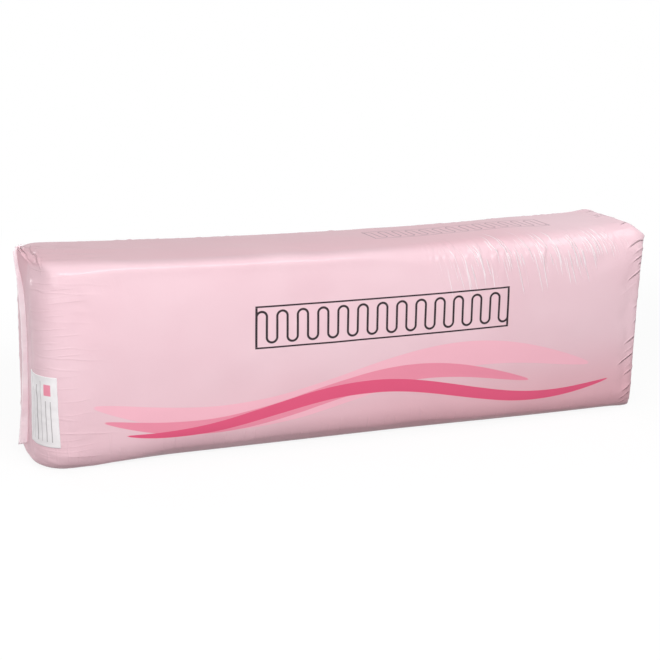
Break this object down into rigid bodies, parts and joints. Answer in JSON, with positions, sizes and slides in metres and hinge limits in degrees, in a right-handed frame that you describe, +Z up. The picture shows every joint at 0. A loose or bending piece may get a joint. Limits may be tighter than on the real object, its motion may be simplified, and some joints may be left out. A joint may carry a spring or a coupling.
{
  "type": "bag of fiberglass batts",
  "caption": "Film bag packed tight with folded fiberglass insulation batts, standing on its long narrow side, with a sealed fin at each end and a blank paper label at one corner.",
  "frame": {"origin": "middle of the flat narrow side that the bag stands on, at the bottom of its box", "axes": "+X along the bag's length, the large front face looks towards -Y, +Z up"},
  "size_m": [1.2718, 0.253, 0.386],
  "materials": {
    "film": "thin pink-white polyethylene film, softly glossy",
    "glass_wool": "matt pink glass wool",
    "label_paper": "smooth white sticker paper"
  },
  "bodies": {
    "root": {"bag_film": "film", "batt_1": "glass_wool", "batt_2": "glass_wool", "batt_3": "glass_wool", "batt_4": "glass_wool", "batt_5": "glass_wool", "batt_6": "glass_wool", "batt_7": "glass_wool", "batt_8": "glass_wool", "label": "label_paper"}
  },
  "joints": []
}
